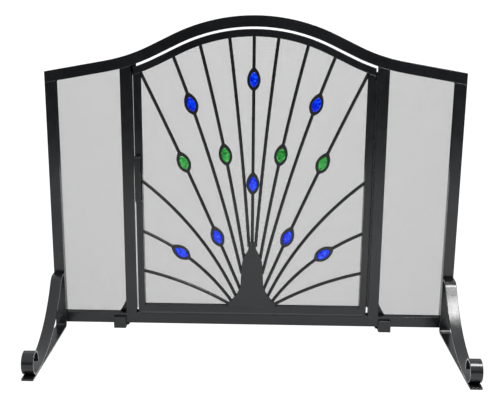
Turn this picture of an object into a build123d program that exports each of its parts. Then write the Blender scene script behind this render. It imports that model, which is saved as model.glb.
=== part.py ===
from build123d import *
from math import asin, atan2, cos, degrees, radians, sin, sqrt, tan
import os

# Free-standing fireplace screen: an arched frame with two fixed mesh side panels, one hinged
# door with a peacock made of steel rods and glass drops, and two scrolled feet.
# Millimetres, +Z up, -Y towards the room.  The origin is on the floor, under the middle of the
# screen's bounding box.  Sketches are drawn as (across, height above the floor).

# ---- Driving dimensions -----------------------------------------------------------------------
FRAME_WIDTH = 1118
CROWN_HEIGHT = 868
FLOOR_GAP = 14                # floor to the underside of the bottom rail
FOOT_REACH = 374              # front face of the frame to the tip of a foot
BACK_REACH = 26               # front face of the frame to the rearmost bolt end
FRONT = (FOOT_REACH - BACK_REACH) / 2

TUBE_FACE = 29
TUBE_DEPTH = 20
TUBE_WALL = 1.5
MULLION_OUTER = 356.5         # centre line to the outer face of a mullion

# The arch: a convex crown, a short straight, a concave sweep and a straight shoulder.
CROWN_RADIUS = 495
SWEEP_RADIUS = 480
FLANK_ANGLE = 25.8            # steepest slope, degrees
FLANK_LENGTH = 66
SHOULDER_ANGLE = 10

DOOR_TUBE = 19
DOOR_WALL = 1.2
DOOR_GAP = 6                  # reveal beside and above the door
DOOR_SILL_GAP = 6

MESH_THICKNESS = 0.8
STRIP_THICKNESS = 1.5
SIDE_STRIP_WIDTH = 8
DOOR_STRIP_WIDTH = 8
MESH_LAP = 6                  # how far the mesh lies over the back of a tube
RIVET_RADIUS = 1.5
RIVET_HEAD_RADIUS = 3
RIVET_HEAD_HEIGHT = 1.2
RIVET_PITCH = 110
RIVET_CLEARANCE = 0.05
# Where the rows of rivets start and stop.
SIDE_RAIL_RIVETS_IN = 50      # mullion to the first rivet on the bottom rail, past the corner plate
SIDE_RAIL_RIVETS_OUT = 30     # last rivet on the bottom rail to the post
POST_RIVETS_UP = 40           # bottom rail to the first rivet on a post
POST_RIVETS_TOP = 660
MULLION_RIVETS_UP = 60        # bottom rail to the first rivet on a mullion
MULLION_RIVETS_TOP = 690
SIDE_ARCH_RIVETS_END = 15     # rivets on the arch to the post and to the mullion
DOOR_RIVETS_MIDDLE = 45       # centre line to the first rivet on the door's rails
DOOR_RAIL_RIVETS_END = 25
DOOR_ARCH_RIVETS_END = 20
STILE_RIVETS_UP = 30          # door's bottom rail to the first rivet on a stile
STILE_RIVETS_TOP = 700

HINGE_BARREL_RADIUS = 2.5
HINGE_PIN_RADIUS = 1.2
HINGE_BORE_RADIUS = 1.25
HINGE_LEAF = 1.2
HINGE_LEAF_BACK = 16
HINGE_WEB_BACK = 3.2
HINGE_KNUCKLES = 25
HINGE_KNUCKLE_GAP = 0.4
HINGE_BOTTOM = 72
HINGE_TOP = 724
HINGE_PIN_END = 1             # how far the pin stands out of the last knuckles

RAY_DIAMETER = 9
BODY_THICKNESS = 4

BEZEL_HALF_WIDTH = 18
BEZEL_TIP = 36                # widest point to the outer tip
BEZEL_TAIL = 30               # widest point to the end nearest the bird
BEZEL_THICKNESS = 5
GEM_HALF_WIDTH = 11.5
GEM_TIP = 22.5
GEM_TAIL = 19.5
GEM_THICKNESS = 7
GEM_DOME = 3
GEM_END_ROUND = 4

HANDLE_HEIGHT = 434           # middle of the handle
HANDLE_LENGTH = 128
HANDLE_WIDTH = 16
HANDLE_REACH = 25
HANDLE_BAR = 3
HANDLE_BEND = 9
HANDLE_EDGE_ROUND = 1

FOOT_BAR_WIDTH = 30
FOOT_BAR_THICKNESS = 5
FOOT_BEND = 8
FOOT_TIP_ROUND = 2
BRACE_THICKNESS = 4
BRACE_HEIGHT = 159            # middle of the brace's level run
BRACE_RETURN = 18             # level run from the post to the first bend
BRACE_TOP_BEND = 31.6
BRACE_ANGLE = 49.5
BRACE_LANDING = 322           # front face of the frame to where the brace meets the runner
SCROLL_CENTRE = 339           # front face of the frame to the scroll's axis
SCROLL_RADIUS = 27.5
SCROLL_TAIL_RADIUS = 23.5
SCROLL_TAIL_ANGLE = 115
BOLT_HEIGHTS = (36, 118)
BOLT_RADIUS = 3
BOLT_CLEARANCE = 0.2
BOLT_HEAD_RADIUS = 5.5
BOLT_HEAD_HEIGHT = 3
BOLT_HEAD_ROUND = 1.8
NUT_ACROSS_FLATS = 10
NUT_HEIGHT = 5

PLATE_THICKNESS = 2.5
PLATE_CLEARANCE = 0.6         # plates to the mesh and strips that are notched for them
STRIKE_THICKNESS = 2.5        # strip on the latch mullion that narrows the reveal
STRIKE_BOTTOM = 56
STRIKE_TOP = 722
MID_FOOT_INNER = 358
MID_FOOT_WIDTH = 34
MID_FOOT_FRONT = 9            # how far the pad stands in front of the rail
MID_FOOT_HEIGHT = 34
MID_FOOT_EDGE_ROUND = 1.5

# ---- Dimensions that follow -------------------------------------------------------------------
HALF_WIDTH = FRAME_WIDTH / 2
POST_INNER = HALF_WIDTH - TUBE_FACE
POST_CENTRE = HALF_WIDTH - TUBE_FACE / 2
MULLION_INNER = MULLION_OUTER - TUBE_FACE
RAIL_TOP = FLOOR_GAP + TUBE_FACE
DOOR_HALF = MULLION_INNER - DOOR_GAP
DOOR_INNER = DOOR_HALF - DOOR_TUBE
DOOR_BOTTOM = RAIL_TOP + DOOR_SILL_GAP
DOOR_SILL = DOOR_BOTTOM + DOOR_TUBE
DOOR_TOP_INSET = TUBE_FACE + DOOR_GAP
DOOR_LIGHT_INSET = DOOR_TOP_INSET + DOOR_TUBE
HINGE_X = MULLION_INNER - DOOR_GAP / 2
RAY_SET_BACK = BODY_THICKNESS + RAY_DIAMETER / 2

# Rays right of the centre line, from the centre outwards: root, middle and tip of each rod, and
# the colour and place of each glass drop as a fraction of the rod's length from its root.
RAYS = [
    ((9, 242), (26.5, 459), (66, 822), []),
    ((22, 204), (67, 459), (145, 802), [("green", 0.489)]),
    ((29, 164), (91.5, 402), (217, 770), [("blue", 0.773)]),
    ((31, 112), (124, 332), (304, 724), [("blue", 0.252), ("green", 0.592)]),
    ((44, 94), (146, 265), (312, 432), []),
    ((58, 82), (148, 183), (312, 286), [("blue", 0.60)]),
    ((63, 72.5), (177, 128.5), (312, 170), []),
]
CENTRE_RAY = ((0, 250), (0, 826), [("blue", 0.782), ("blue", 0.293)])

# Half outline of the bird's body, from the middle of the head to the foot.
BODY_HEAD = (10.4, 257)
BODY_SIDE = [(10.4, 243), (21, 218), (29.5, 182), (31, 152), (35, 120), (53, 92), (66, 80)]
BODY_RIVET_HEIGHTS = (214, 246)

# Corner plate behind the foot of the right mullion, and the stop behind the door's top corner.
CORNER_PLATE = [(354, 0), (390, 0), (390, 28), (373, 49), (359, 76), (333, 76), (329, 48),
                (317, 46), (317, 20), (343, 16)]
TOP_STOP = [(315, 712), (350, 712), (350, 748), (315, 748)]


# ---- Helpers ----------------------------------------------------------------------------------
def slab(face, front, depth):
    """Stand a flat (across, height) face up and give it depth behind the frame's front face."""
    return Pos(0, FRONT + front + depth, 0) * extrude(Plane.XZ * face, amount=depth)


def rectangle(left, right, bottom, top):
    return Pos((left + right) / 2, (bottom + top) / 2) * Rectangle(right - left, top - bottom)


def outline(points):
    return make_face(Polyline(*points, close=True))


def rod_along_y(radius, x, z, front, depth):
    return slab(Pos(x, z) * Circle(radius), front, depth)


def mirrored(shape):
    return mirror(shape, about=Plane.YZ)


def group(shapes):
    """Keep separate pieces separate inside one node."""
    return Compound(children=[solid for shape in shapes for solid in shape.solids()])


def export(name, shape):
    shape.label = name
    export_step(shape, f"parts/{name}.step")


def export_pair(name, right):
    """Export a right-hand piece and its mirror image."""
    export(f"right_{name}", right)
    export(f"left_{name}", mirrored(right))


# ---- The arch ---------------------------------------------------------------------------------
def arch_half(inset):
    """Right half of the arch, offset inwards: crown end to shoulder end, as joined curves."""
    flank, shoulder = radians(FLANK_ANGLE), radians(SHOULDER_ANGLE)
    crown_centre = Vector(0, CROWN_HEIGHT - CROWN_RADIUS)
    flank_normal = Vector(sin(flank), cos(flank))
    flank_run = Vector(cos(flank), -sin(flank)) * FLANK_LENGTH
    sweep_centre = crown_centre + flank_normal * (CROWN_RADIUS + SWEEP_RADIUS) + flank_run

    def on_crown(angle):
        return crown_centre + Vector(sin(angle), cos(angle)) * (CROWN_RADIUS - inset)

    def on_sweep(angle):
        return sweep_centre - Vector(sin(angle), cos(angle)) * (SWEEP_RADIUS + inset)

    sweep_end = on_sweep(shoulder)
    run = HALF_WIDTH - sweep_end.X
    shoulder_end = Vector(HALF_WIDTH, sweep_end.Y - run * sin(shoulder) / cos(shoulder))
    return [
        ThreePointArc(on_crown(0), on_crown(flank / 2), on_crown(flank)),
        Line(on_crown(flank), on_sweep(flank)),
        ThreePointArc(on_sweep(flank), on_sweep((flank + shoulder) / 2), sweep_end),
        Line(sweep_end, shoulder_end),
    ]


def under_arch(inset):
    """Everything between the floor and the arch line, across the whole frame."""
    half = arch_half(inset)
    end = half[-1] @ 1
    side = Line(end, (HALF_WIDTH, 0))
    base = Line((HALF_WIDTH, 0), (0, 0))
    middle = Line((0, 0), half[0] @ 0)
    right = make_face(Curve() + half + [side, base, middle])
    return right + mirrored(right)


def arched_tube(left, right, inset, face, depth, wall):
    """A rectangular tube that follows the arch between two upright cuts."""
    outer = (under_arch(inset) - under_arch(inset + face)) & rectangle(left, right, 0, CROWN_HEIGHT)
    bore = under_arch(inset + wall) - under_arch(inset + face - wall)
    bore &= rectangle(left + wall, right - wall, 0, CROWN_HEIGHT)
    return slab(outer, 0, depth) - slab(bore, wall, depth - 2 * wall)


def straight_tube(left, right, bottom, top, depth, wall):
    outer = slab(rectangle(left, right, bottom, top), 0, depth)
    bore = slab(rectangle(left + wall, right - wall, bottom + wall, top - wall), wall, depth - 2 * wall)
    return outer - bore


def upright_tube(left, right, bottom, inset, depth, wall):
    """An upright tube whose top is cut to the underside of the arch line."""
    outer = rectangle(left, right, bottom, CROWN_HEIGHT) & under_arch(inset)
    bore = rectangle(left + wall, right - wall, bottom + wall, CROWN_HEIGHT) & under_arch(inset + wall)
    return slab(outer, 0, depth) - slab(bore, wall, depth - 2 * wall)


# ---- Rivets that hold the mesh strips ---------------------------------------------------------
def spread(start, end):
    """Evenly spaced stations from start to end, about one rivet pitch apart."""
    count = max(2, round((end - start) / RIVET_PITCH) + 1)
    return [start + (end - start) * step / (count - 1) for step in range(count)]


def arch_height(x, inset):
    """Height of the arch line at a distance from the centre line."""
    wire = Wire([curve.edge() for curve in arch_half(inset)])
    upright = Edge.make_line((abs(x), 0), (abs(x), 2 * CROWN_HEIGHT))
    return wire.intersect(upright).vertices()[0].Y


def rivets(places, tube_depth, clearance=0.0):
    """Blind rivets, or with a clearance the holes for them."""
    back = tube_depth + MESH_THICKNESS + STRIP_THICKNESS
    grip = MESH_THICKNESS + STRIP_THICKNESS + 2 * TUBE_WALL
    made = []
    for x, z in places:
        shank = rod_along_y(RIVET_RADIUS + clearance, x, z, back - grip, grip)
        if not clearance:
            shank += rod_along_y(RIVET_HEAD_RADIUS, x, z, back, RIVET_HEAD_HEIGHT)
        made.append(shank)
    return made


def drill(shape, holes):
    for hole in holes:
        shape -= hole
    return shape


half_strip = SIDE_STRIP_WIDTH / 2
side_rivet_places = [
    (x, RAIL_TOP - half_strip)
    for x in spread(MULLION_OUTER + SIDE_RAIL_RIVETS_IN, POST_INNER - SIDE_RAIL_RIVETS_OUT)
] + [
    (POST_INNER + half_strip, z) for z in spread(RAIL_TOP + POST_RIVETS_UP, POST_RIVETS_TOP)
] + [
    (MULLION_OUTER - half_strip, z)
    for z in spread(RAIL_TOP + MULLION_RIVETS_UP, MULLION_RIVETS_TOP)
] + [
    (x, arch_height(x, TUBE_FACE - half_strip))
    for x in spread(MULLION_OUTER + SIDE_ARCH_RIVETS_END, POST_INNER - SIDE_ARCH_RIVETS_END)
]
side_rivets = rivets(side_rivet_places, TUBE_DEPTH)
side_rivet_holes = rivets(side_rivet_places, TUBE_DEPTH, RIVET_CLEARANCE)

half_door_strip = DOOR_STRIP_WIDTH / 2
door_rivet_half = [
    (x, DOOR_SILL - half_door_strip)
    for x in spread(DOOR_RIVETS_MIDDLE, DOOR_INNER - DOOR_RAIL_RIVETS_END)
] + [
    (DOOR_INNER + half_door_strip, z)
    for z in spread(DOOR_SILL + STILE_RIVETS_UP, STILE_RIVETS_TOP)
] + [
    (x, arch_height(x, DOOR_LIGHT_INSET - half_door_strip))
    for x in spread(DOOR_RIVETS_MIDDLE, DOOR_INNER - DOOR_ARCH_RIVETS_END)
]
door_rivets_right = rivets(door_rivet_half, DOOR_TUBE)
door_rivet_holes = rivets(door_rivet_half, DOOR_TUBE, RIVET_CLEARANCE)
door_rivet_holes += [mirrored(hole) for hole in door_rivet_holes]


# ---- Fixed frame ------------------------------------------------------------------------------
def foot_bolt_holes():
    through = TUBE_DEPTH + 2 * FOOT_BAR_THICKNESS
    radius = BOLT_RADIUS + BOLT_CLEARANCE
    return [rod_along_y(radius, POST_CENTRE, z, -FOOT_BAR_THICKNESS, through) for z in BOLT_HEIGHTS]


def post():
    tube = upright_tube(POST_INNER, HALF_WIDTH, FLOOR_GAP, TUBE_FACE, TUBE_DEPTH, TUBE_WALL)
    return drill(tube, foot_bolt_holes() + side_rivet_holes)


def mullion():
    tube = upright_tube(MULLION_INNER, MULLION_OUTER, RAIL_TOP, TUBE_FACE, TUBE_DEPTH, TUBE_WALL)
    return drill(tube, side_rivet_holes)


def bottom_rail():
    tube = straight_tube(-POST_INNER, POST_INNER, FLOOR_GAP, RAIL_TOP, TUBE_DEPTH, TUBE_WALL)
    return drill(tube, side_rivet_holes + [mirrored(hole) for hole in side_rivet_holes])


def arched_top_rail():
    tube = arched_tube(-HALF_WIDTH, HALF_WIDTH, 0, TUBE_FACE, TUBE_DEPTH, TUBE_WALL)
    return drill(tube, side_rivet_holes + [mirrored(hole) for hole in side_rivet_holes])


def corner_plate():
    return slab(outline(CORNER_PLATE), TUBE_DEPTH, PLATE_THICKNESS)


def top_stop():
    """Stop behind the door's free top corner, on the left mullion."""
    return mirrored(slab(outline(TOP_STOP), TUBE_DEPTH, PLATE_THICKNESS))


def strike_strip():
    """Flat strip on the inner face of the latch mullion, which the free stile shuts beside."""
    face = rectangle(-MULLION_INNER, -MULLION_INNER + STRIKE_THICKNESS, STRIKE_BOTTOM, STRIKE_TOP)
    return slab(face, 0, TUBE_DEPTH)


def clear_of_plates(shape):
    low = offset(outline(CORNER_PLATE), amount=PLATE_CLEARANCE, kind=Kind.INTERSECTION)
    high = offset(outline(TOP_STOP), amount=PLATE_CLEARANCE, kind=Kind.INTERSECTION)
    cutter = slab(low, TUBE_DEPTH, 2 * PLATE_THICKNESS) + slab(high, TUBE_DEPTH, 2 * PLATE_THICKNESS)
    return shape - cutter


def side_mesh():
    area = rectangle(MULLION_OUTER - MESH_LAP, POST_INNER + MESH_LAP, RAIL_TOP - MESH_LAP, CROWN_HEIGHT)
    area &= under_arch(TUBE_FACE - MESH_LAP)
    sheet = slab(area, TUBE_DEPTH, MESH_THICKNESS)
    return drill(clear_of_plates(sheet), side_rivet_holes)


def side_strips():
    left, right = MULLION_OUTER - SIDE_STRIP_WIDTH, POST_INNER + SIDE_STRIP_WIDTH
    band = under_arch(TUBE_FACE - SIDE_STRIP_WIDTH) - under_arch(TUBE_FACE)
    uprights = under_arch(TUBE_FACE)
    faces = [
        rectangle(left, right, RAIL_TOP - SIDE_STRIP_WIDTH, RAIL_TOP),
        rectangle(left, MULLION_OUTER, RAIL_TOP, CROWN_HEIGHT) & uprights,
        rectangle(POST_INNER, right, RAIL_TOP, CROWN_HEIGHT) & uprights,
        rectangle(left, right, RAIL_TOP, CROWN_HEIGHT) & band,
    ]
    strips = [slab(face, TUBE_DEPTH + MESH_THICKNESS, STRIP_THICKNESS) for face in faces]
    return group([drill(clear_of_plates(strip), side_rivet_holes) for strip in strips])


def mid_foot():
    """Small foot block at the base of a mullion: a pad in front of the rail and one under it."""
    left, right = MID_FOOT_INNER, MID_FOOT_INNER + MID_FOOT_WIDTH
    pad = slab(rectangle(left, right, 0, MID_FOOT_HEIGHT), -MID_FOOT_FRONT, MID_FOOT_FRONT)
    pad = fillet(pad.edges().filter_by(Axis.X).group_by(Axis.Y)[0], MID_FOOT_EDGE_ROUND)
    return pad + slab(rectangle(left, right, 0, FLOOR_GAP), 0, TUBE_DEPTH)


# ---- Feet -------------------------------------------------------------------------------------
FOOT_PLANE = Plane(origin=(POST_CENTRE + FOOT_BAR_WIDTH / 2, FRONT, 0), x_dir=(0, -1, 0),
                   z_dir=(-1, 0, 0))


def foot_extrusion(face):
    """Extrude a (forward, height) face across the width of the foot bar."""
    return extrude(FOOT_PLANE * face, amount=FOOT_BAR_WIDTH)


def foot_bar():
    """Flat bar bent up at the back: a leg against the post and a runner along the floor."""
    thick = FOOT_BAR_THICKNESS
    leg_top = BRACE_HEIGHT - BRACE_THICKNESS / 2
    face = outline([(0, 0), (FOOT_REACH, 0), (FOOT_REACH, thick), (thick, thick), (thick, leg_top),
                    (0, leg_top)])
    inner = face.vertices().sort_by_distance((thick, thick))[0]
    face = fillet(inner, FOOT_BEND)
    outer = face.vertices().sort_by_distance((0, 0))[0]
    face = fillet(outer, FOOT_BEND + thick)
    bar = foot_extrusion(face)
    bar = fillet(bar.edges().filter_by(Axis.Z).group_by(Axis.Y)[0], FOOT_TIP_ROUND)
    return drill(bar, foot_bolt_holes())


def scroll_brace():
    """Flat bar from the leg's top down to the runner, curled into a scroll at the front."""
    angle = radians(BRACE_ANGLE)
    lowest = FOOT_BAR_THICKNESS + BRACE_THICKNESS / 2
    slope_run = (BRACE_HEIGHT - lowest) / tan(angle / 2) - (BRACE_LANDING - BRACE_RETURN)
    level = Line((0, BRACE_HEIGHT), (BRACE_RETURN, BRACE_HEIGHT))
    bend = JernArc(level @ 1, level % 1, BRACE_TOP_BEND, -BRACE_ANGLE)
    slope = Line(bend @ 1, (bend @ 1) + (bend % 1) * slope_run)
    landing_radius = (BRACE_LANDING - (slope @ 1).X) / sin(angle)
    landing = JernArc(slope @ 1, slope % 1, landing_radius, BRACE_ANGLE)
    flat = Line(landing @ 1, (SCROLL_CENTRE, lowest))
    curl = JernArc(flat @ 1, (1, 0), SCROLL_RADIUS, 180)
    tail = JernArc(curl @ 1, curl % 1, SCROLL_TAIL_RADIUS, SCROLL_TAIL_ANGLE)
    return foot_extrusion(trace(Curve() + [level, bend, slope, landing, flat, curl, tail],
                                BRACE_THICKNESS))


def foot_bolts():
    made = []
    for z in BOLT_HEIGHTS:
        head_front = -FOOT_BAR_THICKNESS - BOLT_HEAD_HEIGHT
        head = rod_along_y(BOLT_HEAD_RADIUS, POST_CENTRE, z, head_front, BOLT_HEAD_HEIGHT)
        head = fillet(head.edges().group_by(Axis.Y)[0], BOLT_HEAD_ROUND)
        made.append(head + rod_along_y(BOLT_RADIUS, POST_CENTRE, z, -FOOT_BAR_THICKNESS,
                                       FOOT_BAR_THICKNESS + BACK_REACH))
    return group(made + [mirrored(bolt) for bolt in made])


def foot_nuts():
    hexagon = RegularPolygon(NUT_ACROSS_FLATS / 2, 6, major_radius=False) - Circle(BOLT_RADIUS)
    made = [slab(Pos(POST_CENTRE, z) * hexagon, TUBE_DEPTH, NUT_HEIGHT) for z in BOLT_HEIGHTS]
    return group(made + [mirrored(nut) for nut in made])


# ---- Continuous hinge -------------------------------------------------------------------------
def knuckle_span(index):
    pitch = (HINGE_TOP - HINGE_BOTTOM) / HINGE_KNUCKLES
    bottom = HINGE_BOTTOM + index * pitch
    return bottom + HINGE_KNUCKLE_GAP / 2, bottom + pitch - HINGE_KNUCKLE_GAP / 2


def upright_cylinder(radius, bottom, top):
    return Pos(HINGE_X, FRONT, (bottom + top) / 2) * Cylinder(radius, top - bottom)


def hinge_leaf(side, first, bore_radius):
    """One leaf: side is +1 for the mullion's and -1 for the door's; every other knuckle is its own."""
    outer = HINGE_X + side * DOOR_GAP / 2
    inner = outer - side * HINGE_LEAF
    left, right = min(inner, outer), max(inner, outer)
    leaf = slab(rectangle(left, right, HINGE_BOTTOM, HINGE_TOP), HINGE_WEB_BACK,
                HINGE_LEAF_BACK - HINGE_WEB_BACK)
    for index in range(first, HINGE_KNUCKLES, 2):
        bottom, top = knuckle_span(index)
        leaf += slab(rectangle(left, right, bottom, top), 0, HINGE_WEB_BACK)
        leaf += upright_cylinder(HINGE_BARREL_RADIUS, bottom, top)
    bore = upright_cylinder(bore_radius, HINGE_BOTTOM - HINGE_PIN_END, HINGE_TOP + HINGE_PIN_END)
    return leaf - bore


def hinge_pin():
    return upright_cylinder(HINGE_PIN_RADIUS, HINGE_BOTTOM - HINGE_PIN_END, HINGE_TOP + HINGE_PIN_END)


# ---- Door -------------------------------------------------------------------------------------
def door_light():
    """The opening inside the door's tubes."""
    return rectangle(-DOOR_INNER, DOOR_INNER, DOOR_SILL, CROWN_HEIGHT) & under_arch(DOOR_LIGHT_INSET)


def door_stile():
    tube = upright_tube(DOOR_INNER, DOOR_HALF, DOOR_BOTTOM, DOOR_LIGHT_INSET, DOOR_TUBE, DOOR_WALL)
    return drill(tube, door_rivet_holes)


def door_bottom_rail():
    tube = straight_tube(-DOOR_INNER, DOOR_INNER, DOOR_BOTTOM, DOOR_SILL, DOOR_TUBE, DOOR_WALL)
    return drill(tube, door_rivet_holes)


def door_top_rail():
    tube = arched_tube(-DOOR_HALF, DOOR_HALF, DOOR_TOP_INSET, DOOR_TUBE, DOOR_TUBE, DOOR_WALL)
    return drill(tube, door_rivet_holes)


def door_mesh():
    area = rectangle(-DOOR_INNER - MESH_LAP, DOOR_INNER + MESH_LAP, DOOR_SILL - MESH_LAP, CROWN_HEIGHT)
    area &= under_arch(DOOR_LIGHT_INSET - MESH_LAP)
    return drill(slab(area, DOOR_TUBE, MESH_THICKNESS), door_rivet_holes)


def door_strips():
    outer = DOOR_INNER + DOOR_STRIP_WIDTH
    band = under_arch(DOOR_LIGHT_INSET - DOOR_STRIP_WIDTH) - under_arch(DOOR_LIGHT_INSET)
    upright = rectangle(DOOR_INNER, outer, DOOR_SILL, CROWN_HEIGHT) & under_arch(DOOR_LIGHT_INSET)
    faces = [
        rectangle(-outer, outer, DOOR_SILL - DOOR_STRIP_WIDTH, DOOR_SILL),
        rectangle(-outer, outer, DOOR_SILL, CROWN_HEIGHT) & band,
        upright,
        mirrored(upright),
    ]
    strips = [slab(face, DOOR_TUBE + MESH_THICKNESS, STRIP_THICKNESS) for face in faces]
    return group([drill(strip, door_rivet_holes) for strip in strips])


def door_handle():
    """Flat bar bow handle welded to the free stile."""
    x = -(DOOR_INNER + DOOR_HALF) / 2 + HANDLE_WIDTH / 2
    side = Plane(origin=(x, FRONT, HANDLE_HEIGHT), x_dir=(0, -1, 0), z_dir=(-1, 0, 0))
    inner_length = HANDLE_LENGTH - 2 * HANDLE_BAR
    bow = RectangleRounded(2 * HANDLE_REACH, HANDLE_LENGTH, HANDLE_BEND)
    bow -= RectangleRounded(2 * (HANDLE_REACH - HANDLE_BAR), inner_length, HANDLE_BEND - HANDLE_BAR)
    bow &= rectangle(0, HANDLE_REACH, -HANDLE_LENGTH / 2, HANDLE_LENGTH / 2)
    bar = extrude(side * bow, amount=HANDLE_WIDTH)
    return fillet(bar.edges().filter_by(Axis.Z).group_by(Axis.Y)[0], HANDLE_EDGE_ROUND)


# ---- Peacock ----------------------------------------------------------------------------------
def drop_radius(half_width, length):
    """Radius of the arc from a teardrop's widest line to a point at that distance."""
    return (half_width ** 2 + length ** 2) / (2 * half_width)


def drop_face(half_width, tip, tail):
    """Teardrop of four arcs, all square to the widest line, meeting at the tip and the tail."""
    arcs = []
    for sign, length in ((1, tip), (-1, tip), (-1, -tail), (1, -tail)):
        radius = drop_radius(half_width, length)
        half_turn = asin(length / radius) / 2
        middle_x = half_width - radius + radius * cos(half_turn)
        middle = (sign * middle_x, radius * sin(half_turn))
        arcs.append(ThreePointArc((sign * half_width, 0), middle, (0, length)))
    return make_face(Curve() + arcs)


def blunt_length(length):
    """Where a bezel has narrowed to the thickness of a rod."""
    radius = drop_radius(BEZEL_HALF_WIDTH, length)
    return sqrt(radius ** 2 - (radius - BEZEL_HALF_WIDTH + RAY_DIAMETER / 2) ** 2)


def gem_place(rod, fraction):
    """Where a drop sits on a rod, turned so that its tip points along the rod."""
    point, run = rod.position_at(fraction), rod.tangent_at(fraction)
    return Pos(point.X, point.Y) * Rot(0, 0, degrees(atan2(run.Y, run.X)) - 90)


BEZEL_BLOCK = rectangle(-BEZEL_HALF_WIDTH, BEZEL_HALF_WIDTH, -blunt_length(BEZEL_TAIL),
                        blunt_length(BEZEL_TIP))
BEZEL_FACE = drop_face(BEZEL_HALF_WIDTH, BEZEL_TIP, BEZEL_TAIL) & BEZEL_BLOCK
GEM_FACE = fillet(drop_face(GEM_HALF_WIDTH, GEM_TIP, GEM_TAIL).vertices().filter_by(
    lambda corner: abs(corner.X) < 1), GEM_END_ROUND)
BEZEL_FRONT = RAY_SET_BACK - BEZEL_THICKNESS / 2


def bezel(place):
    return slab(place * (BEZEL_FACE - GEM_FACE), BEZEL_FRONT, BEZEL_THICKNESS)


def gem(place):
    """Glass drop with a rounded front, proud of its bezel."""
    front = BEZEL_FRONT + BEZEL_THICKNESS - GEM_THICKNESS
    glass = slab(place * GEM_FACE, front, GEM_THICKNESS)
    return fillet(glass.edges().group_by(Axis.Y)[0], GEM_DOME)


def ray_path(points):
    return Line(*points) if len(points) == 2 else ThreePointArc(*points)


def ray_rod(points, drops):
    """Round rod that stops at the door's tubes and at each bezel."""
    path = ray_path(points)
    stand = Plane.XZ.offset(-(FRONT + RAY_SET_BACK))
    track = stand * path
    rod = sweep(Plane(origin=track @ 0, z_dir=track % 0) * Circle(RAY_DIAMETER / 2), path=track)
    rod &= slab(door_light(), 0, DOOR_TUBE)
    for _, fraction in drops:
        rod -= slab(gem_place(path, fraction) * BEZEL_BLOCK, 0, DOOR_TUBE)
    return group([rod])


def peacock_body():
    half = make_face(Curve() + [
        Line((0, DOOR_SILL), (0, BODY_HEAD[1])),
        Line((0, BODY_HEAD[1]), BODY_HEAD),
        Line(BODY_HEAD, BODY_SIDE[0]),
        Spline(*BODY_SIDE, tangents=[(0, -1), (1, -0.6)]),
        Line(BODY_SIDE[-1], (BODY_SIDE[-1][0], DOOR_SILL)),
        Line((BODY_SIDE[-1][0], DOOR_SILL), (0, DOOR_SILL)),
    ])
    plate = slab(half + mirrored(half), 0, BODY_THICKNESS)
    holes = [rod_along_y(RIVET_RADIUS + RIVET_CLEARANCE, 0, z, 0, BODY_THICKNESS)
             for z in BODY_RIVET_HEIGHTS]
    return drill(plate, holes)


def body_rivets():
    made = []
    for z in BODY_RIVET_HEIGHTS:
        head = rod_along_y(RIVET_HEAD_RADIUS, 0, z, -RIVET_HEAD_HEIGHT, RIVET_HEAD_HEIGHT)
        made.append(head + rod_along_y(RIVET_RADIUS, 0, z, 0, BODY_THICKNESS))
    return group(made)


# ---- Export -----------------------------------------------------------------------------------
os.makedirs("parts", exist_ok=True)

export_pair("post", post())
export_pair("mullion", mullion())
export("bottom_rail", bottom_rail())
export("arched_top_rail", arched_top_rail())
export_pair("side_mesh", side_mesh())
export_pair("mesh_strips", side_strips())
export("side_mesh_rivets", group(side_rivets + [mirrored(rivet) for rivet in side_rivets]))
export_pair("corner_plate", corner_plate())
export("top_stop", top_stop())
export("strike_strip", strike_strip())
export_pair("mid_foot", mid_foot())
export_pair("foot_bar", foot_bar())
export_pair("scroll_brace", scroll_brace())
export("foot_bolts", foot_bolts())
export("foot_nuts", foot_nuts())

export("hinge_frame_leaf", hinge_leaf(1, 0, HINGE_PIN_RADIUS))
export("hinge_door_leaf", hinge_leaf(-1, 1, HINGE_BORE_RADIUS))
export("hinge_pin", hinge_pin())

export("hinge_stile", door_stile())
export("latch_stile", mirrored(door_stile()))
export("door_bottom_rail", door_bottom_rail())
export("door_top_rail", door_top_rail())
export("door_mesh", door_mesh())
export("door_mesh_strips", door_strips())
export("door_mesh_rivets", group(door_rivets_right + [mirrored(r) for r in door_rivets_right]))
export("door_handle", door_handle())
export("peacock_body", peacock_body())
export("body_rivets", body_rivets())

bezels = []
gems = {"blue": [], "green": []}
rays = [("centre_ray", CENTRE_RAY[:2], CENTRE_RAY[2])]
rays += [(f"ray_{number}", points[:3], points[3]) for number, points in enumerate(RAYS, 1)]
for name, points, drops in rays:
    rod = ray_rod(points, drops)
    left_points = [(-x, z) for x, z in points]
    places = [(colour, gem_place(ray_path(points), fraction)) for colour, fraction in drops]
    settings = [bezel(place) for _, place in places]
    stones = [(colour, gem(place)) for colour, place in places]
    if name == "centre_ray":
        export(name, rod)
    else:
        export(f"right_{name}", rod)
        export(f"left_{name}", ray_rod(left_points, drops))
        settings += [mirrored(setting) for setting in settings]
        stones += [(colour, mirrored(stone)) for colour, stone in stones]
    bezels += settings
    for colour, stone in stones:
        gems[colour].append(stone)
export("gem_bezels", group(bezels))
export("blue_gems", group(gems["blue"]))
export("green_gems", group(gems["green"]))
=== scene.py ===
import bpy
import math
from mathutils import Matrix, Vector


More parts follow.
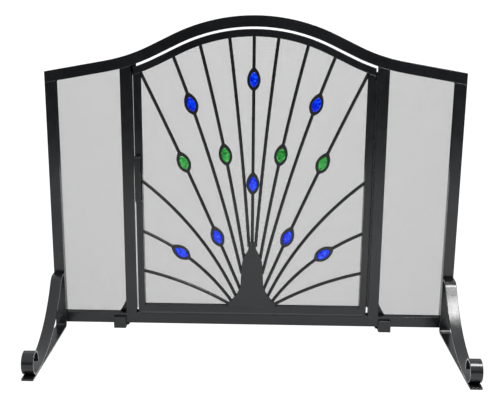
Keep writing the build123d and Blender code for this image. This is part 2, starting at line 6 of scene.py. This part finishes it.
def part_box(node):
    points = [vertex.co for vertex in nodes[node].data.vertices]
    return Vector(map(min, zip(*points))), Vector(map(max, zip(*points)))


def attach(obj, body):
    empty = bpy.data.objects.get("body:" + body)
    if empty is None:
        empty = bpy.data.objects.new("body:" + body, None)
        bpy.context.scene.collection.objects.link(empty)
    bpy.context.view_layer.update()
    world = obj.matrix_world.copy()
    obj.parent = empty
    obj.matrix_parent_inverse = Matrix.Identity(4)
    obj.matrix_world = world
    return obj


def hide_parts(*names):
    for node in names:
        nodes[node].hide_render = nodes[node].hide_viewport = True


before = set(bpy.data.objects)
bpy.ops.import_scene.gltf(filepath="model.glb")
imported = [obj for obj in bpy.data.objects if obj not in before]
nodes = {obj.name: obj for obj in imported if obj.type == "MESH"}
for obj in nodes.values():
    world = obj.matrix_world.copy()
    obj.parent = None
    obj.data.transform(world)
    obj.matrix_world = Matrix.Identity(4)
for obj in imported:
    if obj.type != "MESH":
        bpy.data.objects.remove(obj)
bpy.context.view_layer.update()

# ---- Positions taken from the CAD ---------------------------------------------------------------
arch_low, arch_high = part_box("arched_top_rail")
FRONT = arch_low.y                       # front face of the frame
CROWN_HEIGHT = arch_high.z

# The arch's curves, as in the CAD, in metres and radians.
CROWN_RADIUS = 0.495
SWEEP_RADIUS = 0.480
FLANK_ANGLE = math.radians(25.8)
FLANK_LENGTH = 0.066
SHOULDER_ANGLE = math.radians(10)
TUBE_FACE = 0.029
DOOR_LIGHT_INSET = 0.054

CROWN_CENTRE_Z = CROWN_HEIGHT - CROWN_RADIUS
SWEEP_CENTRE_X = (math.sin(FLANK_ANGLE) * (CROWN_RADIUS + SWEEP_RADIUS)
                  + math.cos(FLANK_ANGLE) * FLANK_LENGTH)
SWEEP_CENTRE_Z = (CROWN_CENTRE_Z + math.cos(FLANK_ANGLE) * (CROWN_RADIUS + SWEEP_RADIUS)
                  - math.sin(FLANK_ANGLE) * FLANK_LENGTH)


def arch_height(x, inset):
    """Height of the arch line, moved inwards by inset, at a distance from the centre line."""
    x = abs(x)
    crown = CROWN_RADIUS - inset
    sweep = SWEEP_RADIUS + inset
    if x <= crown * math.sin(FLANK_ANGLE):
        return CROWN_CENTRE_Z + math.sqrt(crown ** 2 - x ** 2)
    sweep_start = SWEEP_CENTRE_X - sweep * math.sin(FLANK_ANGLE)
    if x <= sweep_start:
        run = x - crown * math.sin(FLANK_ANGLE)
        return CROWN_CENTRE_Z + crown * math.cos(FLANK_ANGLE) - run * math.tan(FLANK_ANGLE)
    sweep_end = SWEEP_CENTRE_X - sweep * math.sin(SHOULDER_ANGLE)
    if x <= sweep_end:
        return SWEEP_CENTRE_Z - math.sqrt(sweep ** 2 - (x - SWEEP_CENTRE_X) ** 2)
    return (SWEEP_CENTRE_Z - sweep * math.cos(SHOULDER_ANGLE)
            - (x - sweep_end) * math.tan(SHOULDER_ANGLE))


# ---- Materials ----------------------------------------------------------------------------------
def new_material(name):
    material = bpy.data.materials.new(name)
    material.use_nodes = True
    tree = material.node_tree
    return material, tree, tree.nodes["Principled BSDF"]


def node(tree, kind, **settings):
    made = tree.nodes.new(kind)
    for key, value in settings.items():
        setattr(made, key, value)
    return made


def noise(tree, scale, detail=4.0, roughness=0.55):
    coords = node(tree, "ShaderNodeTexCoord")
    made = node(tree, "ShaderNodeTexNoise")
    made.inputs["Scale"].default_value = scale
    made.inputs["Detail"].default_value = detail
    made.inputs["Roughness"].default_value = roughness
    tree.links.new(coords.outputs["Object"], made.inputs["Vector"])
    return made


def ramp(tree, source, stops):
    made = node(tree, "ShaderNodeValToRGB")
    elements = made.color_ramp.elements
    elements[0].position, elements[0].color = stops[0]
    elements[1].position, elements[1].color = stops[-1]
    for position, colour in stops[1:-1]:
        elements.new(position).color = colour
    tree.links.new(source, made.inputs["Fac"])
    return made


def grey(value, tint=(1.0, 1.0, 1.0)):
    return (value * tint[0], value * tint[1], value * tint[2], 1.0)


def painted_steel(name, tint, base, worn, rough, edge_radius, bump_strength):
    """Satin black paint on steel: patchy gloss, fine orange peel, softened and slightly worn edges."""
    material, tree, shader = new_material(name)
    shader.inputs["Metallic"].default_value = 0.0
    shader.inputs["IOR"].default_value = 1.5
    shader.inputs["Specular IOR Level"].default_value = 0.31

    patches = noise(tree, scale=9.0, detail=5.0)
    colour = ramp(tree, patches.outputs["Fac"],
                  [(0.3, grey(base * 0.75, tint)), (0.7, grey(base * 1.3, tint))])

    # Edge wear: where the rounded normal leaves the flat one, broken up by noise.
    bevel = node(tree, "ShaderNodeBevel", samples=6)
    bevel.inputs["Radius"].default_value = edge_radius
    geometry = node(tree, "ShaderNodeNewGeometry")
    dot = node(tree, "ShaderNodeVectorMath", operation="DOT_PRODUCT")
    tree.links.new(bevel.outputs["Normal"], dot.inputs[0])
    tree.links.new(geometry.outputs["Normal"], dot.inputs[1])
    edge = ramp(tree, dot.outputs["Value"], [(0.72, grey(1.0)), (0.97, grey(0.0))])
    scratches = noise(tree, scale=120.0, detail=3.0, roughness=0.7)
    broken = ramp(tree, scratches.outputs["Fac"], [(0.46, grey(0.0)), (0.66, grey(1.0))])
    wear = node(tree, "ShaderNodeMath", operation="MULTIPLY")
    tree.links.new(edge.outputs["Color"], wear.inputs[0])
    tree.links.new(broken.outputs["Color"], wear.inputs[1])
    mix = node(tree, "ShaderNodeMix", data_type="RGBA")
    mix.inputs["B"].default_value = grey(worn, tint)
    tree.links.new(wear.outputs["Value"], mix.inputs["Factor"])
    tree.links.new(colour.outputs["Color"], mix.inputs["A"])
    tree.links.new(mix.outputs["Result"], shader.inputs["Base Color"])

    gloss = noise(tree, scale=34.0, detail=6.0, roughness=0.62)
    spread = node(tree, "ShaderNodeMapRange")
    spread.inputs["From Min"].default_value = 0.3
    spread.inputs["From Max"].default_value = 0.7
    spread.inputs["To Min"].default_value = rough[0]
    spread.inputs["To Max"].default_value = rough[1]
    tree.links.new(gloss.outputs["Fac"], spread.inputs["Value"])
    tree.links.new(spread.outputs["Result"], shader.inputs["Roughness"])

    peel = noise(tree, scale=900.0, detail=2.0)
    bump = node(tree, "ShaderNodeBump")
    bump.inputs["Strength"].default_value = bump_strength
    bump.inputs["Distance"].default_value = 0.0004
    tree.links.new(peel.outputs["Fac"], bump.inputs["Height"])
    tree.links.new(bevel.outputs["Normal"], bump.inputs["Normal"])
    tree.links.new(bump.outputs["Normal"], shader.inputs["Normal"])
    return material


def art_glass(name, deep, bright, glow):
    """Cast glass: streaks from a deep to a glowing colour, and soft waves on the surface."""
    material, tree, shader = new_material(name)
    shader.inputs["IOR"].default_value = 1.5
    shader.inputs["Transmission Weight"].default_value = 0.25
    shader.inputs["Specular IOR Level"].default_value = 0.10
    shader.inputs["Coat Weight"].default_value = 0.16
    shader.inputs["Coat Roughness"].default_value = 0.02
    swirl = noise(tree, scale=95.0, detail=6.0, roughness=0.62)
    swirl.inputs["Distortion"].default_value = 1.6
    colour = ramp(tree, swirl.outputs["Fac"], [(0.36, deep), (0.52, bright), (0.68, glow)])
    tree.links.new(colour.outputs["Color"], shader.inputs["Base Color"])
    haze = node(tree, "ShaderNodeMapRange")
    haze.inputs["To Min"].default_value = 0.04
    haze.inputs["To Max"].default_value = 0.16
    tree.links.new(swirl.outputs["Fac"], haze.inputs["Value"])
    tree.links.new(haze.outputs["Result"], shader.inputs["Roughness"])
    bevel = node(tree, "ShaderNodeBevel", samples=8)
    bevel.inputs["Radius"].default_value = 0.004
    waves = noise(tree, scale=210.0, detail=2.0)
    bump = node(tree, "ShaderNodeBump")
    bump.inputs["Strength"].default_value = 0.45
    bump.inputs["Distance"].default_value = 0.0008
    tree.links.new(waves.outputs["Fac"], bump.inputs["Height"])
    tree.links.new(bevel.outputs["Normal"], bump.inputs["Normal"])
    tree.links.new(bump.outputs["Normal"], shader.inputs["Normal"])
    return material


COOL = (0.92, 0.97, 1.12)
WARM = (1.0, 0.98, 0.96)
steel = painted_steel("black_paint", COOL, base=0.0062, worn=0.05, rough=(0.15, 0.27),
                      edge_radius=0.0022, bump_strength=0.12)
small_steel = painted_steel("black_paint_small", COOL, base=0.0055, worn=0.05, rough=(0.22, 0.36),
                            edge_radius=0.0007, bump_strength=0.10)
hardware = painted_steel("blackened_hardware", WARM, base=0.012, worn=0.12, rough=(0.22, 0.36),
                         edge_radius=0.0004, bump_strength=0.10)
wire_paint = painted_steel("wire_paint", COOL, base=0.010, worn=0.03, rough=(0.35, 0.50),
                           edge_radius=0.0001, bump_strength=0.05)
blue_glass = art_glass("blue_glass", deep=(0.0, 0.001, 0.30, 1.0), bright=(0.0, 0.022, 0.85, 1.0),
                       glow=(0.01, 0.15, 1.0, 1.0))
green_glass = art_glass("green_glass", deep=(0.004, 0.08, 0.012, 1.0), bright=(0.02, 0.30, 0.035, 1.0),
                        glow=(0.14, 0.66, 0.17, 1.0))


def finish_cad(name, material):
    """Give a CAD node a material through its object's own slots."""
    target = nodes[name]
    if not target.material_slots:
        target.data.materials.append(None)
    for place in target.material_slots:
        place.link = "OBJECT"
        place.material = material


HARDWARE = ("rivets", "bolts", "nuts", "hinge_pin")
SMALL = ("ray_", "centre_ray", "gem_bezels", "hinge_", "mesh_strips", "door_handle")
GLASS = {"blue_gems": blue_glass, "green_gems": green_glass}


def material_for(name):
    if name in GLASS:
        return GLASS[name]
    if any(word in name for word in HARDWARE):
        return hardware
    if any(word in name for word in SMALL) and name != "hinge_stile":
        return small_steel
    return steel


for name in nodes:
    finish_cad(name, material_for(name))


# ---- Wire mesh ----------------------------------------------------------------------------------
WIRE_PITCH = 0.002
WIRE_WIDTH = 0.00052
WIRE_THICKNESS = 0.0004
MESH_LAP = 0.006
SHORTEST_WIRE = 3 * WIRE_PITCH
HALVINGS = 30


def stations(low, high):
    """Wire centres on one grid that is shared by the whole screen."""
    first = math.ceil((low + WIRE_WIDTH) / WIRE_PITCH)
    last = math.floor((high - WIRE_WIDTH) / WIRE_PITCH)
    return [step * WIRE_PITCH for step in range(first, last + 1)]


def arch_crossing(inside, outside, z, inset):
    """Where a level line leaves the area under the arch, found by halving."""
    for _ in range(HALVINGS):
        middle = (inside + outside) / 2
        if arch_height(middle, inset) >= z:
            inside = middle
        else:
            outside = middle
    return inside


def level_run(z, inset, left, right):
    """The stretch from left to right that lies under the arch at one height, if there is any."""
    across_middle = left < 0 < right
    near, far = (0.0, right) if across_middle else sorted((left, right), key=abs)
    if arch_height(far, inset) >= z:
        return left, right
    if arch_height(near, inset) < z:
        return None
    end = arch_crossing(near, far, z, inset)
    return (-end, end) if across_middle else (min(near, end), max(near, end))


BOX_FACES = ((0, 3, 2, 1), (4, 5, 6, 7), (0, 1, 5, 4), (1, 2, 6, 5), (2, 3, 7, 6), (3, 0, 4, 7))


def woven_panel(name, cad_name, inset, body):
    """Upright and level wires over the CAD sheet's area, one layer on the other."""
    low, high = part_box(cad_name)
    half_wire = WIRE_WIDTH / 2
    bars = []
    for x in stations(low.x, high.x):
        top = min(high.z, arch_height(x, inset))
        bars.append((x - half_wire, x + half_wire, low.y, low.y + WIRE_THICKNESS, low.z, top))
    for z in stations(low.z, high.z):
        run = level_run(z + half_wire, inset, low.x, high.x)
        if run and run[1] - run[0] > SHORTEST_WIRE:
            bars.append((*run, high.y - WIRE_THICKNESS, high.y, z - half_wire, z + half_wire))
    points = []
    faces = []
    for x0, x1, y0, y1, z0, z1 in bars:
        first = len(points)
        points += [(x0, y0, z0), (x1, y0, z0), (x1, y1, z0), (x0, y1, z0),
                   (x0, y0, z1), (x1, y0, z1), (x1, y1, z1), (x0, y1, z1)]
        faces += [[first + corner for corner in face] for face in BOX_FACES]
    data = bpy.data.meshes.new(name)
    data.from_pydata(points, [], faces)
    data.materials.append(wire_paint)
    panel = bpy.data.objects.new(name, data)
    bpy.context.scene.collection.objects.link(panel)
    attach(panel, body)
    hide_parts(cad_name)


woven_panel("woven_left", "left_side_mesh", TUBE_FACE - MESH_LAP, "frame")
woven_panel("woven_right", "right_side_mesh", TUBE_FACE - MESH_LAP, "frame")
woven_panel("woven_door", "door_mesh", DOOR_LIGHT_INSET - MESH_LAP, "door")


# ---- Studio -------------------------------------------------------------------------------------
BACKDROP_STRENGTH = 1.12
FLOOR_REACH = 2.6


def pale_floor():
    """Pale floor for the lighting, which the camera sees as the same clean white as the backdrop."""
    material, tree, shader = new_material("studio_floor")
    shader.inputs["Roughness"].default_value = 0.7
    shader.inputs["Specular IOR Level"].default_value = 0.2
    shader.inputs["Emission Color"].default_value = grey(1.0)
    shader.inputs["Emission Strength"].default_value = 0.12
    speckle = noise(tree, scale=3.0, detail=3.0)
    colour = ramp(tree, speckle.outputs["Fac"], [(0.3, grey(0.90)), (0.7, grey(0.93))])
    tree.links.new(colour.outputs["Color"], shader.inputs["Base Color"])
    seen = node(tree, "ShaderNodeEmission")
    seen.inputs["Strength"].default_value = BACKDROP_STRENGTH
    path = node(tree, "ShaderNodeLightPath")
    mix = node(tree, "ShaderNodeMixShader")
    tree.links.new(path.outputs["Is Camera Ray"], mix.inputs["Fac"])
    tree.links.new(shader.outputs["BSDF"], mix.inputs[1])
    tree.links.new(seen.outputs["Emission"], mix.inputs[2])
    tree.links.new(mix.outputs["Shader"], tree.nodes["Material Output"].inputs["Surface"])
    data = bpy.data.meshes.new("studio_floor")
    corners = [(-FLOOR_REACH, -FLOOR_REACH, 0), (FLOOR_REACH, -FLOOR_REACH, 0),
               (FLOOR_REACH, FLOOR_REACH, 0), (-FLOOR_REACH, FLOOR_REACH, 0)]
    data.from_pydata(corners, [], [(0, 1, 2, 3)])
    data.materials.append(material)
    floor = bpy.data.objects.new("studio_floor", data)
    bpy.context.scene.collection.objects.link(floor)


def soft_light(name, place, aim, size, power):
    data = bpy.data.lights.new(name, "AREA")
    data.shape = "RECTANGLE"
    data.size, data.size_y = size
    data.energy = power
    light = bpy.data.objects.new(name, data)
    light.location = place
    light.rotation_mode = "QUATERNION"
    light.rotation_quaternion = (Vector(aim) - Vector(place)).to_track_quat("-Z", "Y")
    bpy.context.scene.collection.objects.link(light)


def studio_world():
    """White backdrop for the camera; for lighting, a soft bright ceiling above a dim horizon."""
    world = bpy.data.worlds.new("studio")
    bpy.context.scene.world = world
    world.use_nodes = True
    tree = world.node_tree
    ceiling = tree.nodes["Background"]
    coords = tree.nodes.new("ShaderNodeTexCoord")
    parts = tree.nodes.new("ShaderNodeSeparateXYZ")
    tree.links.new(coords.outputs["Generated"], parts.inputs["Vector"])
    height = tree.nodes.new("ShaderNodeMapRange")
    height.interpolation_type = "SMOOTHSTEP"
    height.inputs["From Min"].default_value = 0.16
    height.inputs["From Max"].default_value = 0.62
    height.inputs["To Min"].default_value = 0.05
    height.inputs["To Max"].default_value = 1.45
    tree.links.new(parts.outputs["Z"], height.inputs["Value"])
    tree.links.new(height.outputs["Result"], ceiling.inputs["Strength"])
    ceiling.inputs["Color"].default_value = (0.97, 0.985, 1.0, 1.0)
    seen = tree.nodes.new("ShaderNodeBackground")
    seen.inputs["Color"].default_value = (1.0, 1.0, 1.0, 1.0)
    seen.inputs["Strength"].default_value = BACKDROP_STRENGTH
    path = tree.nodes.new("ShaderNodeLightPath")
    mix = tree.nodes.new("ShaderNodeMixShader")
    tree.links.new(path.outputs["Is Camera Ray"], mix.inputs["Fac"])
    tree.links.new(ceiling.outputs["Background"], mix.inputs[1])
    tree.links.new(seen.outputs["Background"], mix.inputs[2])
    tree.links.new(mix.outputs["Shader"], tree.nodes["World Output"].inputs["Surface"])


pale_floor()
studio_world()
soft_light("key", place=(1.21, -0.76, 2.91), aim=(0.54, 0.05, 0.10), size=(0.5, 1.2), power=95)

# ---- Camera -------------------------------------------------------------------------------------
CAMERA_HEIGHT = 0.885
CAMERA_DISTANCE = 2.274
CAMERA_ACROSS = 0.020
YAW, PITCH, ROLL = math.radians(2.34), math.radians(-14.49), math.radians(-0.11)
LENS = 61.2
SHIFT_ACROSS, SHIFT_UP = 0.048, 0.052
camera_data = bpy.data.cameras.new("camera")
camera_data.sensor_width = 36.0
camera_data.lens = LENS
camera_data.shift_x = SHIFT_ACROSS
camera_data.shift_y = SHIFT_UP
camera = bpy.data.objects.new("camera", camera_data)
bpy.context.scene.collection.objects.link(camera)
camera.matrix_world = (Matrix.Translation((CAMERA_ACROSS, FRONT - CAMERA_DISTANCE, CAMERA_HEIGHT))
                       @ Matrix.Rotation(YAW, 4, "Z") @ Matrix.Rotation(PITCH, 4, "X")
                       @ Matrix.Rotation(ROLL, 4, "Y") @ Matrix.Rotation(math.pi / 2, 4, "X"))
bpy.context.scene.camera = camera
bpy.context.scene.view_settings.view_transform = "Standard"
